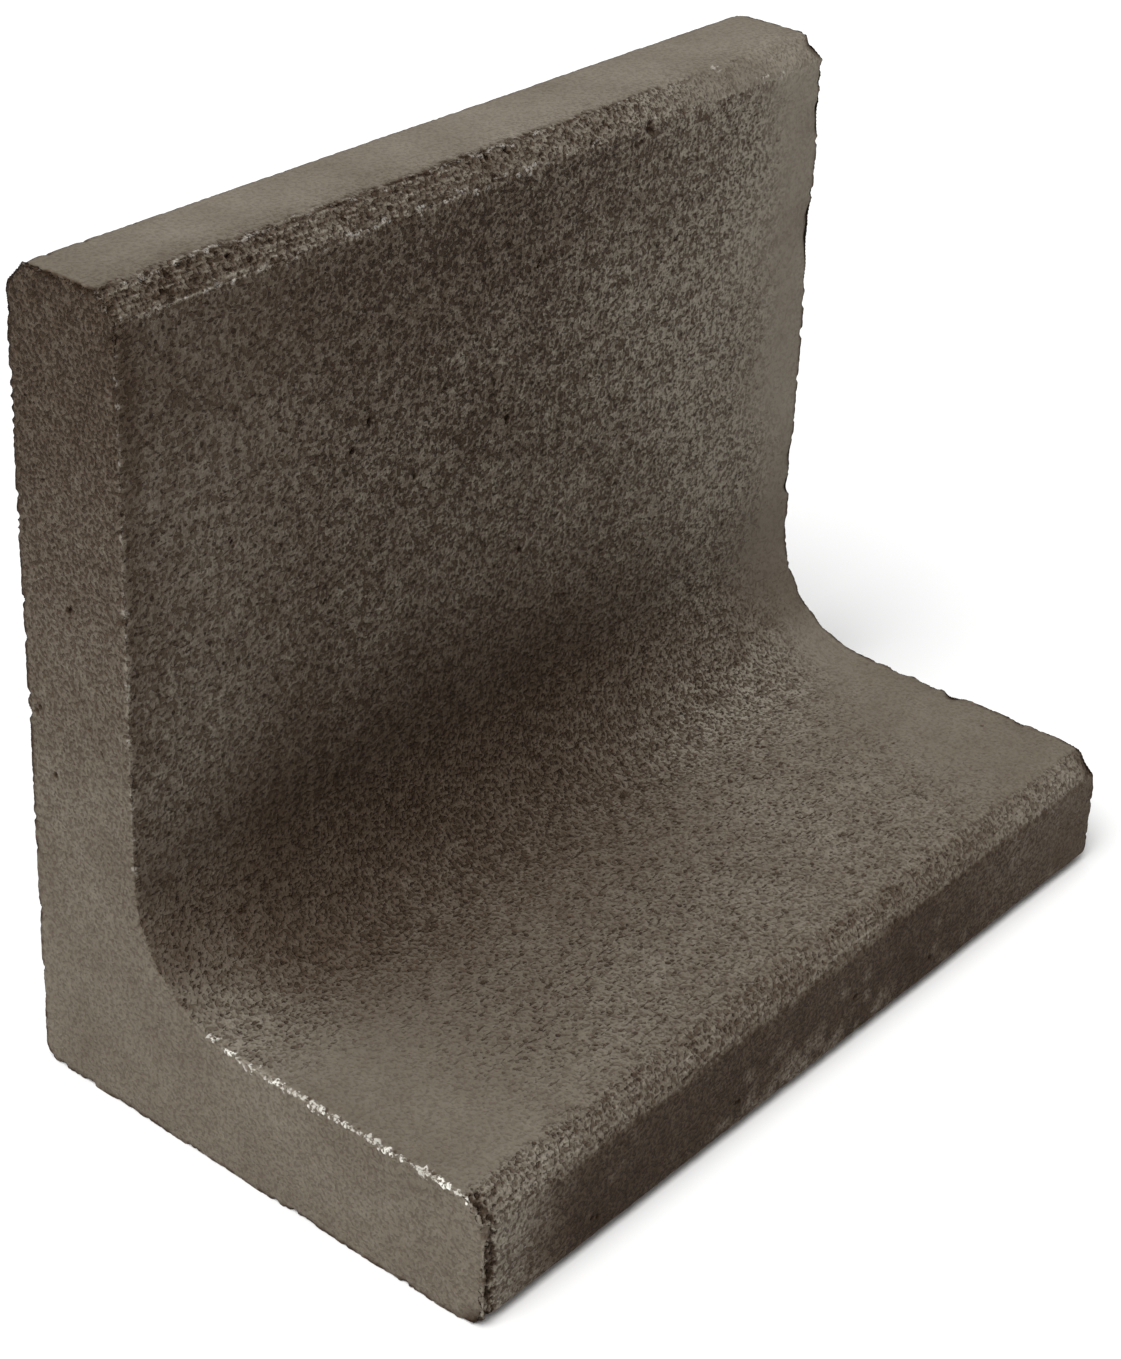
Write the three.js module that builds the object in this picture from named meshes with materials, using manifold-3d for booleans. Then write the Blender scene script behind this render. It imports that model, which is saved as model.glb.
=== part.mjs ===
// Precast concrete L-shaped retaining unit: a stem and a foot cast in one piece around a bent, welded wire mesh
// that six plastic spacers hold in the middle of the section.
//
// Millimetres, +Z up. +X runs along the wall, +Y faces out of the fair face, and the foot points to -Y.
// The origin is the middle of the unit's bounding box, on the ground.

import * as THREE from "three";
import { mergeVertices } from "three/addons/utils/BufferGeometryUtils.js";
import Module from "manifold-3d";

// ---- Driving dimensions -------------------------------------------------------------------------------------------
const LENGTH = 475; // along the wall
const DEPTH = 270; // fair face to toe
const HEIGHT = 400;
const THICKNESS = 66; // of the stem and of the foot
const FILLET_RADIUS = 60; // between the stem and the foot
const ARRIS_CHAMFER = 11; // both top arrises of the stem, and the top arris of the toe
const BASE_CHAMFER = 6; // the two long arrises that meet the ground
const FILLET_STEPS = 10;

const WIRE_RADIUS = 3;
const WIRE_SIDES = 10;
const BEND_RADIUS = 27; // of a bent wire's centre line
const BEND_STEPS = 6;
const WIRE_END_COVER = 28; // concrete past the ends of every wire
const MAIN_WIRES = 5;
const MAIN_SPACING = 95;
const CROSS_SPACING = 70;
const STEM_CROSS_WIRES = 5;
const LOWEST_STEM_CROSS_Z = 75;
const FOOT_CROSS_WIRES = 3;
const INNERMOST_FOOT_CROSS_Y = 50;

const CLEARANCE = 0.3; // between any two pieces that touch

// The spacer's own frame: its wire runs along Z through the origin, and its four feet point to -Y.
const CLIP_THICKNESS = 2.3;
const CLIP_WIDTH = 10;
const CLIP_MOUTH = THREE.MathUtils.degToRad(110); // the gap that snaps over the wire
const CLIP_STEPS = 8;
const NECK = { width: 5, depth: 8, top: -4.5, bottom: -9.5 };
const DECK = { radius: 13, thickness: 2, level: -10, sides: 16 };
const LEG = { topRadius: 2.2, tipRadius: 1.2, offset: 7.5, sides: 8 };
const TIP_RECESS = 0.2; // how far a spacer's tips stop inside the concrete's face
const UPPER_SPACER_Z = 320;
const LOWER_SPACER_Z = 110;
const FOOT_SPACER_Y = -55;

// ---- Places worked out from them ----------------------------------------------------------------------------------
const FAIR_FACE_Y = DEPTH / 2;
const SOIL_FACE_Y = FAIR_FACE_Y - THICKNESS;
const TOE_Y = -DEPTH / 2;
const STEM_MIDDLE_Y = FAIR_FACE_Y - THICKNESS / 2;
const FOOT_MIDDLE_Z = THICKNESS / 2;
const CROSS_OFFSET = 2 * WIRE_RADIUS + CLEARANCE; // cross wires lie against the main wires, on their soil side
const MAIN_TOP_Z = HEIGHT - WIRE_END_COVER;
const MAIN_TOE_Y = TOE_Y + WIRE_END_COVER;
const SPACER_WIRES = [1, MAIN_WIRES - 2]; // the second main wire from each end

const wasm = await Module();
wasm.setup();

// ---- Materials ----------------------------------------------------------------------------------------------------
const concrete = new THREE.MeshStandardMaterial({ color: 0x6a6256, roughness: 0.95, metalness: 0.0 });
const steel = new THREE.MeshStandardMaterial({ color: 0x6b5a4c, roughness: 0.6, metalness: 0.8 });
const plastic = new THREE.MeshStandardMaterial({ color: 0x8d8f8c, roughness: 0.5, metalness: 0.0 });

// ---- Solids -------------------------------------------------------------------------------------------------------
function toSolid(geometry) {
  const bare = geometry.clone();
  bare.deleteAttribute("normal");
  bare.deleteAttribute("uv");
  const merged = mergeVertices(bare, 1e-4);
  return new wasm.Manifold(
    new wasm.Mesh({
      numProp: 3,
      vertProperties: merged.getAttribute("position").array,
      triVerts: new Uint32Array(merged.index.array),
    }),
  );
}

function toGeometry(solid) {
  const mesh = solid.getMesh();
  const geometry = new THREE.BufferGeometry();
  geometry.setAttribute("position", new THREE.BufferAttribute(mesh.vertProperties, mesh.numProp));
  geometry.setIndex(new THREE.BufferAttribute(mesh.triVerts, 1));
  geometry.computeVertexNormals();
  return geometry;
}

function union(geometries) {
  return geometries.map(toSolid).reduce((all, next) => all.add(next));
}

// ---- Concrete -----------------------------------------------------------------------------------------------------
// The cross-section, drawn with Shape x as the unit's Y and Shape y as its Z.
function concreteProfile() {
  const shape = new THREE.Shape();
  shape.moveTo(TOE_Y + BASE_CHAMFER, 0);
  shape.lineTo(FAIR_FACE_Y - BASE_CHAMFER, 0);
  shape.lineTo(FAIR_FACE_Y, BASE_CHAMFER);
  shape.lineTo(FAIR_FACE_Y, HEIGHT - ARRIS_CHAMFER);
  shape.lineTo(FAIR_FACE_Y - ARRIS_CHAMFER, HEIGHT);
  shape.lineTo(SOIL_FACE_Y + ARRIS_CHAMFER, HEIGHT);
  shape.lineTo(SOIL_FACE_Y, HEIGHT - ARRIS_CHAMFER);
  const clockwise = true;
  shape.absarc(
    SOIL_FACE_Y - FILLET_RADIUS,
    THICKNESS + FILLET_RADIUS,
    FILLET_RADIUS,
    0,
    -Math.PI / 2,
    clockwise,
  );
  shape.lineTo(TOE_Y + ARRIS_CHAMFER, THICKNESS);
  shape.lineTo(TOE_Y, THICKNESS - ARRIS_CHAMFER);
  shape.lineTo(TOE_Y, BASE_CHAMFER);
  shape.closePath();
  return shape;
}

function concreteBlock() {
  const geometry = new THREE.ExtrudeGeometry(concreteProfile(), {
    depth: LENGTH,
    bevelEnabled: false,
    curveSegments: FILLET_STEPS,
  });
  geometry.translate(0, 0, -LENGTH / 2);
  const alongX = new THREE.Matrix4().makeBasis(
    new THREE.Vector3(0, 1, 0),
    new THREE.Vector3(0, 0, 1),
    new THREE.Vector3(1, 0, 0),
  );
  return geometry.applyMatrix4(alongX);
}

// ---- Wires --------------------------------------------------------------------------------------------------------
// Down the middle of the stem, round the bend, and along the middle of the foot. It is divided by stations, one for
// each straight and BEND_STEPS for the bend, so that the straights take no extra faces.
class BentWirePath extends THREE.Curve {
  constructor(extra) {
    super();
    this.top = new THREE.Vector3(0, STEM_MIDDLE_Y, MAIN_TOP_Z + extra);
    this.toe = new THREE.Vector3(0, MAIN_TOE_Y - extra, FOOT_MIDDLE_Z);
    this.bendCentre = new THREE.Vector3(0, STEM_MIDDLE_Y - BEND_RADIUS, FOOT_MIDDLE_Z + BEND_RADIUS);
    this.steps = BEND_STEPS + 2;
  }

  bendAngle(u) {
    const share = (u * this.steps - 1) / BEND_STEPS;
    return (THREE.MathUtils.clamp(share, 0, 1) * Math.PI) / 2;
  }

  bendPoint(angle) {
    const spoke = new THREE.Vector3(0, Math.cos(angle), -Math.sin(angle));
    return spoke.multiplyScalar(BEND_RADIUS).add(this.bendCentre);
  }

  getPointAt(u) {
    const station = u * this.steps;
    if (station < 1) return this.top.clone().lerp(this.bendPoint(0), station);
    if (station > BEND_STEPS + 1) return this.bendPoint(Math.PI / 2).lerp(this.toe, station - BEND_STEPS - 1);
    return this.bendPoint(this.bendAngle(u));
  }

  getTangentAt(u) {
    const angle = this.bendAngle(u);
    return new THREE.Vector3(0, -Math.sin(angle), -Math.cos(angle));
  }
}

function wireSection(grow) {
  const section = new THREE.Shape();
  const corners = Array.from({ length: WIRE_SIDES }, (_, i) => {
    const angle = (i / WIRE_SIDES) * 2 * Math.PI;
    return new THREE.Vector2(Math.cos(angle), Math.sin(angle)).multiplyScalar(WIRE_RADIUS + grow);
  });
  section.setFromPoints(corners);
  return section;
}

function bentWire(grow) {
  const path = new BentWirePath(grow);
  return new THREE.ExtrudeGeometry(wireSection(grow), { steps: path.steps, extrudePath: path });
}

function straightWire(grow) {
  const length = LENGTH - 2 * WIRE_END_COVER + 2 * grow;
  const geometry = new THREE.CylinderGeometry(WIRE_RADIUS + grow, WIRE_RADIUS + grow, length, WIRE_SIDES);
  return geometry.rotateZ(Math.PI / 2);
}

// ---- Spacers ------------------------------------------------------------------------------------------------------
function clip(grow) {
  const inner = WIRE_RADIUS + CLEARANCE - grow;
  const outer = WIRE_RADIUS + CLEARANCE + CLIP_THICKNESS + grow;
  const halfMouth = CLIP_MOUTH / 2 - grow / WIRE_RADIUS;
  const start = Math.PI / 2 + halfMouth;
  const end = Math.PI / 2 - halfMouth + 2 * Math.PI;
  const shape = new THREE.Shape();
  shape.absarc(0, 0, outer, start, end, false);
  shape.absarc(0, 0, inner, end, start, true);
  shape.closePath();
  const width = CLIP_WIDTH + 2 * grow;
  const options = { depth: width, bevelEnabled: false, curveSegments: CLIP_STEPS };
  return new THREE.ExtrudeGeometry(shape, options).translate(0, 0, -width / 2);
}

function neck(grow) {
  const height = NECK.top - NECK.bottom;
  const geometry = new THREE.BoxGeometry(NECK.width + 2 * grow, height, NECK.depth + 2 * grow);
  return geometry.translate(0, (NECK.top + NECK.bottom) / 2, 0);
}

function deck(grow) {
  const radius = DECK.radius + grow;
  const geometry = new THREE.CylinderGeometry(radius, radius, DECK.thickness + 2 * grow, DECK.sides);
  return geometry.translate(0, DECK.level, 0);
}

function leg(grow, sideX, sideZ) {
  const tipLevel = -THICKNESS / 2 + (grow > 0 ? -grow : TIP_RECESS);
  const height = DECK.level - tipLevel;
  const geometry = new THREE.CylinderGeometry(LEG.topRadius + grow, LEG.tipRadius + grow, height, LEG.sides);
  return geometry.translate(sideX * LEG.offset, DECK.level - height / 2, sideZ * LEG.offset);
}

function spacer(grow) {
  const sides = [-1, 1];
  const legs = sides.flatMap((sideX) => sides.map((sideZ) => leg(grow, sideX, sideZ)));
  return toGeometry(union([clip(grow), neck(grow), deck(grow), ...legs]));
}

// ---- Assembly -----------------------------------------------------------------------------------------------------
const unit = new THREE.Group();
const recesses = []; // what the concrete is cast around, each a little larger than its piece

function embed(name, makeGeometry, material, position, rotation = new THREE.Euler()) {
  const mesh = new THREE.Mesh(makeGeometry(0), material);
  mesh.name = name;
  mesh.position.copy(position);
  mesh.rotation.copy(rotation);
  mesh.updateMatrix();
  unit.add(mesh);
  recesses.push(makeGeometry(CLEARANCE).applyMatrix4(mesh.matrix));
}

const mainWireX = Array.from({ length: MAIN_WIRES }, (_, i) => (i - (MAIN_WIRES - 1) / 2) * MAIN_SPACING);

mainWireX.forEach((x, i) => {
  embed(`main_wire_${i + 1}`, bentWire, steel, new THREE.Vector3(x, 0, 0));
});

for (let i = 0; i < STEM_CROSS_WIRES; i++) {
  const place = new THREE.Vector3(0, STEM_MIDDLE_Y - CROSS_OFFSET, LOWEST_STEM_CROSS_Z + i * CROSS_SPACING);
  embed(`stem_cross_wire_${i + 1}`, straightWire, steel, place);
}

for (let i = 0; i < FOOT_CROSS_WIRES; i++) {
  const place = new THREE.Vector3(0, INNERMOST_FOOT_CROSS_Y - i * CROSS_SPACING, FOOT_MIDDLE_Z + CROSS_OFFSET);
  embed(`foot_cross_wire_${i + 1}`, straightWire, steel, place);
}

const feetToFairFace = new THREE.Euler(0, 0, Math.PI);
const feetToGround = new THREE.Euler(Math.PI / 2, 0, 0);
SPACER_WIRES.forEach((wire, i) => {
  const x = mainWireX[wire];
  const side = ["left", "right"][i];
  embed(`lower_stem_spacer_${side}`, spacer, plastic, new THREE.Vector3(x, STEM_MIDDLE_Y, LOWER_SPACER_Z), feetToFairFace);
  embed(`upper_stem_spacer_${side}`, spacer, plastic, new THREE.Vector3(x, STEM_MIDDLE_Y, UPPER_SPACER_Z), feetToFairFace);
  embed(`foot_spacer_${side}`, spacer, plastic, new THREE.Vector3(x, FOOT_SPACER_Y, FOOT_MIDDLE_Z), feetToGround);
});

const body = new THREE.Mesh(toGeometry(toSolid(concreteBlock()).subtract(union(recesses))), concrete);
body.name = "concrete_body";
unit.add(body);

export default unit;
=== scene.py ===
"""The looks of the precast concrete L-shaped retaining unit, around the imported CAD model.

Lengths in this file are millimetres unless a name ends in _M. The frame is the CAD's: +X along the wall, +Y
out of the fair face, +Z up, and the origin on the ground under the middle of the unit.
"""

import math

import bpy
import numpy as np
from mathutils import Matrix, Vector, geometry, kdtree, noise


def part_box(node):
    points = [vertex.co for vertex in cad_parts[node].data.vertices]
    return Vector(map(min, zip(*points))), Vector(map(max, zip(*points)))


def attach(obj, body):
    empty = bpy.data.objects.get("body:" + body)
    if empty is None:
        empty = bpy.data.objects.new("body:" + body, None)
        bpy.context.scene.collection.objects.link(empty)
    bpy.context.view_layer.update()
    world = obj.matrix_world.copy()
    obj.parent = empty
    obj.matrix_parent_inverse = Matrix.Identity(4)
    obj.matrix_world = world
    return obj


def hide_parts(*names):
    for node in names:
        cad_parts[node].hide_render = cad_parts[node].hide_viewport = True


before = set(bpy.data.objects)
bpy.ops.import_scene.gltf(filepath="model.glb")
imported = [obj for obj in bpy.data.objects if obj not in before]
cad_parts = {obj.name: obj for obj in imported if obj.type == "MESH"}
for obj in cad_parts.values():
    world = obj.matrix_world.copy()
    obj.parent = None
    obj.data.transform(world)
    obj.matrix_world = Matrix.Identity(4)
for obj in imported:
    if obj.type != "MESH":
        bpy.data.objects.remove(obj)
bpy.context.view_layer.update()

MM = 0.001
SEED = 11

# ---- The unit, as the CAD has it ----
BODY_LOW, BODY_HIGH = (np.array(corner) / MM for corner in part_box("concrete_body"))
HALF_LENGTH = BODY_HIGH[0]
FAIR_FACE_Y = BODY_HIGH[1]
TOE_Y = BODY_LOW[1]
HEIGHT = BODY_HIGH[2]
THICKNESS = 66
SOIL_FACE_Y = FAIR_FACE_Y - THICKNESS
FILLET_RADIUS = 60
ARRIS_CHAMFER = 11
BASE_CHAMFER = 6
FILLET_TOP_Z = THICKNESS + FILLET_RADIUS
FILLET_FOOT_Y = SOIL_FACE_Y - FILLET_RADIUS

# The long arrises, as (y, z).
BACK_UNDER = (FAIR_FACE_Y - BASE_CHAMFER, 0)
BACK_BASE = (FAIR_FACE_Y, BASE_CHAMFER)
BACK_LOW = (FAIR_FACE_Y, HEIGHT - ARRIS_CHAMFER)
BACK_HIGH = (FAIR_FACE_Y - ARRIS_CHAMFER, HEIGHT)
COPING_HIGH = (SOIL_FACE_Y + ARRIS_CHAMFER, HEIGHT)
COPING_LOW = (SOIL_FACE_Y, HEIGHT - ARRIS_CHAMFER)
TOE_HIGH = (TOE_Y + ARRIS_CHAMFER, THICKNESS)
TOE_LOW = (TOE_Y, THICKNESS - ARRIS_CHAMFER)
TOE_BASE = (TOE_Y, BASE_CHAMFER)
TOE_UNDER = (TOE_Y + BASE_CHAMFER, 0)

# ---- The mesh of the concrete ----
FILLET_STEPS = 24
START_EDGE = 8.0  # longest mesh edge before any refining
SHOWN_EDGE = 7.0  # longest on the faces that show in use
HIDDEN_EDGE = 11.0  # longest on the fair face and the underside
ARRIS_EDGE = 2.2  # longest at a long arris
END_EDGE = 1.4  # longest at the arrises round the ends
ARRIS_BAND = 2.0  # how far from an arris its longest edge holds
PIT_EDGE = 0.9  # longest at an air hole
PIT_BAND = 0.8  # how far outside a hole's radius that holds
EDGE_GROWTH = 0.7  # how much longer edges may be for each millimetre beyond
INSIDE_ONLY = 1  # the triangulation's setting that keeps what lies inside the border
CAP_TOLERANCE = 1e-6

# Places whose crumbs and grains need a finer mesh: low corner, high corner, longest edge.
FINE_BOXES = [
    ((-HALF_LENGTH, TOE_Y, THICKNESS - 4), (4 - HALF_LENGTH, FILLET_FOOT_Y + 24, THICKNESS + 6), 0.7),
    ((-HALF_LENGTH, SOIL_FACE_Y - 2, FILLET_TOP_Z), (2 - HALF_LENGTH, SOIL_FACE_Y + 2, HEIGHT - 14), 1.1),
    ((-HALF_LENGTH, TOE_Y, 4), (9 - HALF_LENGTH, TOE_Y + 3, THICKNESS - 8), 0.9),
    ((-HALF_LENGTH, TOE_Y, THICKNESS - 12), (9 - HALF_LENGTH, TOE_Y + 12, THICKNESS), 0.9),
    ((-HALF_LENGTH, SOIL_FACE_Y, HEIGHT - 14), (80, SOIL_FACE_Y + 13, HEIGHT), 1.2),
    ((-HALF_LENGTH, SOIL_FACE_Y + 10, HEIGHT - 1), (3 - HALF_LENGTH, FAIR_FACE_Y - 10, HEIGHT), 0.9),
    ((80, SOIL_FACE_Y, HEIGHT - 14), (HALF_LENGTH, SOIL_FACE_Y + 13, HEIGHT), 1.8),
    ((-HALF_LENGTH, TOE_Y, THICKNESS - 14), (HALF_LENGTH, TOE_Y + 14, THICKNESS), 1.6),
]

# ---- Noises: wavelength and seed of each ----
SWELL = (85, 1)
RIPPLE = (16, 2)
GRAIN = (5, 3)
RAGGEDNESS = [(0.50, (7, 4)), (0.55, (3, 5)), (0.50, (1.9, 15))]  # each after its share
DRIFT = (55, 6)
LONG_WAVE, SHORT_WAVE = (26, 7), (9, 8)
COARSE_ROUGHNESS, FINE_ROUGHNESS = (3.4, 9), (1.9, 10)
CHAMFER_BORDER = (7, 11)
CRUMB_AND_GLINT_LUMPS, CRUMB_AND_GLINT_CLUMPS, CRUMB_AND_GLINT_FADING = (2.4, 12), (15, 13), (9, 17)
TOE_MOTTLE = (8, 14)
PATCHES = (4, 16)

# ---- Wear ----
WORN_BAND = 3.2  # how far the raggedness of an arris reaches
RAGGED_DEPTH = 0.7
RAGGED_OFFSET = 0.15  # added to the raggedness, so that more of an arris is worn than not
END_ROUNDING = (3.2, 0.35)  # reach and depth
END_WAVE_REACH = 10.0
END_WAVE_DEPTH = 3.2
SHORT_WAVE_SHARE = 0.6
WAVE_OFFSET = 0.05
LEFT_WAVE_SHARE = 0.33  # the left end's wave, as a share of the right end's
SWELL_DEPTH = 0.3
RIPPLE_DEPTH = 0.15
GRAIN_DEPTH = 0.12
ROUGH_DEPTH = 0.45  # on the two worn chamfers
ROUGH_BEYOND = 2.0  # how far past them it reaches
ROUGH_CALM_SPAN = (60, 200)  # x where it falls off towards the right end
ROUGH_CALM_SHARE = 0.3  # what is left of it there
FINE_ROUGHNESS_SHARE = 0.6
CRUMB_HEIGHT = 0.4
END_CHIPS_PER_MM = 0.07
END_CHIP_RADIUS = 3.2  # the largest
SMALLEST_CHIP = 0.8
CHIP_DEPTH = 0.5  # as a share of its radius
CALM_SPAN = (70, 170)  # x where the long arrises' chips thin out towards the right end
CALM_SHARE = 0.85  # the share of them left out beyond it

# Air holes: smallest radius and how much larger the others are, then the depths as shares of the radius.
FACE_PIT_RADII, FACE_PIT_DEPTHS = (0.9, 1.3), (0.5, 1.0)
STRIP_PIT_RADII, STRIP_PIT_DEPTHS = (1.0, 1.1), (0.6, 1.0)
LOBES_PER_PIT = 3
LOBE_SCATTER = 0.55  # as a share of the hole's radius, like the lobes' radii
LOBE_RADII = (0.5, 0.9)
LOBE_DEPTH = 0.7  # as a share of the hole's depth
PIT_REACH = 1.3  # how far from its centre a lobe reaches, as a share of its radius
PIT_FLOOR = 0.55  # and how far its flat floor reaches

# Long arrises: place, reach and depth of the rounding, bites per millimetre, smallest and largest bite.
ARRIS_WEAR = [
    (BACK_HIGH, 4.0, 0.55, 0.05, 0.8, 3.0),
    (BACK_LOW, 4.0, 0.55, 0.08, 0.8, 3.5),
    (COPING_HIGH, 5.5, 0.80, 0.12, 0.8, 2.8),
    (COPING_LOW, 5.5, 0.80, 0.10, 0.8, 2.6),
    (TOE_HIGH, 6.5, 1.05, 0.04, 0.8, 2.0),
    (TOE_LOW, 6.5, 1.05, 0.06, 0.8, 2.2),
    (TOE_BASE, 3.5, 0.45, 0.05, 0.8, 3.0),
    (BACK_BASE, 3.5, 0.45, 0.05, 0.8, 3.0),
    (TOE_UNDER, 2.5, 0.30, 0.0, 0.8, 1.0),
    (BACK_UNDER, 2.5, 0.30, 0.0, 0.8, 1.0),
]

# Stretches of end arris that are more broken: x and how far along the unit the bites scatter, from and to as
# (y, z), bites per millimetre, largest bite radius.
BROKEN_STRETCHES = [
    (-HALF_LENGTH, 7, (TOE_Y, 4), TOE_LOW, 1.4, 2.2),
    (-HALF_LENGTH, 7, TOE_LOW, TOE_HIGH, 1.2, 2.2),
    (-HALF_LENGTH, 4, COPING_LOW, COPING_HIGH, 0.8, 2.2),
    (-HALF_LENGTH, 2, COPING_HIGH, BACK_HIGH, 0.60, 1.9),
    (-HALF_LENGTH, 0, (FAIR_FACE_Y, 260), (FAIR_FACE_Y, 385), 0.12, 2.4),
    (HALF_LENGTH, 0, COPING_LOW, COPING_HIGH, 0.30, 3.0),
    (HALF_LENGTH, 0, (-60, THICKNESS), (FILLET_FOOT_Y, THICKNESS), 0.15, 2.8),
    (-HALF_LENGTH, 2.5, TOE_HIGH, (-10, THICKNESS), 0.35, 1.4),
]

# Single losses: place, radius, depth.
LOSSES = [
    ((HALF_LENGTH, SOIL_FACE_Y, 150), 6.0, 3.0),
    ((HALF_LENGTH, SOIL_FACE_Y + 4, HEIGHT - 4), 8.0, 1.6),
    ((HALF_LENGTH, -48, THICKNESS), 7.0, 1.5),
    ((-HALF_LENGTH, TOE_Y + 3, 0), 11.0, 1.6),
    ((-HALF_LENGTH, FAIR_FACE_Y, HEIGHT - 6), 7.0, 1.2),
    ((HALF_LENGTH, TOE_Y, THICKNESS - 4), 9.0, 1.4),
]

# Air holes big enough to be picked out one by one: (x, y, z), radius, depth.
NOTED_PITS = [
    ((99, SOIL_FACE_Y, 386), 3.4, 2.4),
    ((88, SOIL_FACE_Y, 380), 2.0, 1.6),
    ((75, SOIL_FACE_Y, 209), 2.6, 2.0),
    ((83, SOIL_FACE_Y, 204), 1.8, 1.2),
    ((-93, SOIL_FACE_Y, 299), 2.2, 1.6),
    ((0, SOIL_FACE_Y, 268), 2.0, 1.6),
    ((-103, SOIL_FACE_Y, 287), 1.8, 1.2),
    ((-44, SOIL_FACE_Y, 297), 1.7, 1.2),
    ((20, SOIL_FACE_Y, 341), 1.9, 1.5),
    ((24, SOIL_FACE_Y, 346), 1.5, 1.0),
    ((-62, SOIL_FACE_Y, 262), 1.6, 1.2),
    ((-150, SOIL_FACE_Y, 232), 1.6, 1.2),
    ((-HALF_LENGTH, 119, 161), 2.0, 1.4),
    ((-HALF_LENGTH, 126, 191), 2.4, 1.4),
    ((-HALF_LENGTH, 104, 247), 1.6, 1.2),
]

# Faces with scattered air holes: the axis across the face, its level, the other two axes' spans, and how many.
STEM_SPAN = (FILLET_TOP_Z, HEIGHT - 20)
WALL_SPAN = (10 - HALF_LENGTH, HALF_LENGTH - 10)
PITTED_FACES = [
    (1, SOIL_FACE_Y, WALL_SPAN, STEM_SPAN, 9),
    (1, FAIR_FACE_Y, WALL_SPAN, (15, HEIGHT - 20), 22),
    (1, TOE_Y, WALL_SPAN, (10, 50), 4),
    (2, THICKNESS, WALL_SPAN, (TOE_Y + 16, FILLET_FOOT_Y), 6),
    (0, -HALF_LENGTH, (SOIL_FACE_Y + 8, FAIR_FACE_Y - 8), (150, 380), 3),
    (0, HALF_LENGTH, (SOIL_FACE_Y + 8, FAIR_FACE_Y - 8), (10, 380), 12),
]

# Narrow strips thick with small air holes: the span along the unit, from and to as (y, z), and how many.
PITTED_STRIPS = [
    ((1 - HALF_LENGTH, 8 - HALF_LENGTH), (TOE_Y, 4), TOE_LOW, 56),
    ((1 - HALF_LENGTH, 8 - HALF_LENGTH), TOE_LOW, TOE_HIGH, 14),
    ((-230, 100), COPING_LOW, COPING_HIGH, 60),
]

# The spacers' feet, as the CAD has them, and the open ring round each in the concrete.
SPACER_PLACES = ("upper_stem", "lower_stem", "foot")
SPACERS = [f"{place}_spacer_{side}" for place in SPACER_PLACES for side in ("left", "right")]
FOOT_OFFSET = 7.5
MARK_RADIUS = 1.6
MARK_EDGE = 0.7
MARK_BAND = 0.4  # how far outside the ring the fine mesh reaches
MARK_MARGIN = 0.3  # how far outside it the concrete is sunk
MARK_DEPTH = 2.5


def section():
    """The outline of the cross-section as (y, z) points, anticlockwise."""
    points = [TOE_UNDER, BACK_UNDER, BACK_BASE, BACK_LOW, BACK_HIGH, COPING_HIGH, COPING_LOW]
    for step in range(FILLET_STEPS + 1):
        turn = step / FILLET_STEPS * math.pi / 2
        y = FILLET_FOOT_Y + FILLET_RADIUS * math.cos(turn)
        z = FILLET_TOP_Z - FILLET_RADIUS * math.sin(turn)
        points.append((y, z))
    return points + [TOE_HIGH, TOE_LOW, TOE_BASE]


def spread(start, end, spacing):
    """Points from start up to but not including end, no further apart than spacing."""
    start, end = np.array(start, float), np.array(end, float)
    count = math.ceil(np.linalg.norm(end - start) / spacing)
    return [tuple(start + (end - start) * k / count) for k in range(count)]


def inner_grid():
    """Points inside the section, clear of its outline."""
    y, z = np.meshgrid(np.arange(TOE_Y, FAIR_FACE_Y, START_EDGE), np.arange(0, HEIGHT, START_EDGE))
    points = np.stack([y.ravel(), z.ravel()], axis=1)
    y, z = points.T
    hollow = np.hypot(y - FILLET_FOOT_Y, z - FILLET_TOP_Z) < FILLET_RADIUS
    outside = (y < SOIL_FACE_Y) & (z > THICKNESS) & (hollow | (y < FILLET_FOOT_Y) | (z > FILLET_TOP_Z))
    return points[~outside & (outline_distance(points) > START_EDGE / 2)]


def coarse_prism():
    """The extruded section as vertices and triangles of even shape."""
    corners = section()
    pairs = zip(corners, corners[1:] + corners[:1])
    outline = [point for pair in pairs for point in spread(*pair, START_EDGE)]
    n = len(outline)
    columns = math.ceil(2 * HALF_LENGTH / START_EDGE)
    verts = [(x, y, z) for x in np.linspace(-HALF_LENGTH, HALF_LENGTH, columns + 1) for y, z in outline]
    tris = []
    for column in range(columns):
        for i in range(n):
            here, beside = column * n + i, column * n + (i + 1) % n
            tris += [(here, beside, here + n), (beside, beside + n, here + n)]
    sides = len(tris)
    points, cap = cap_triangles(outline)
    for x, first in ((-HALF_LENGTH, 0), (HALF_LENGTH, columns * n)):
        added = len(verts) - n
        verts += [(x, point.x, point.y) for point in points[n:]]
        tris += [tuple(first + i if i < n else added + i for i in face) for face in cap]
    verts, tris = np.array(verts, float), np.array(tris)
    return verts, facing_out(verts, tris, sides)


def cap_triangles(outline):
    """The points of an end, outline first, and the triangles between them."""
    points = [Vector(point) for point in outline] + [Vector(point) for point in inner_grid()]
    border = [(i, (i + 1) % len(outline)) for i in range(len(outline))]
    _, _, faces, origin, _, _ = geometry.delaunay_2d_cdt(points, border, [], INSIDE_ONLY, CAP_TOLERANCE)
    return points, [[origin[i][0] for i in face] for face in faces]


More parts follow.
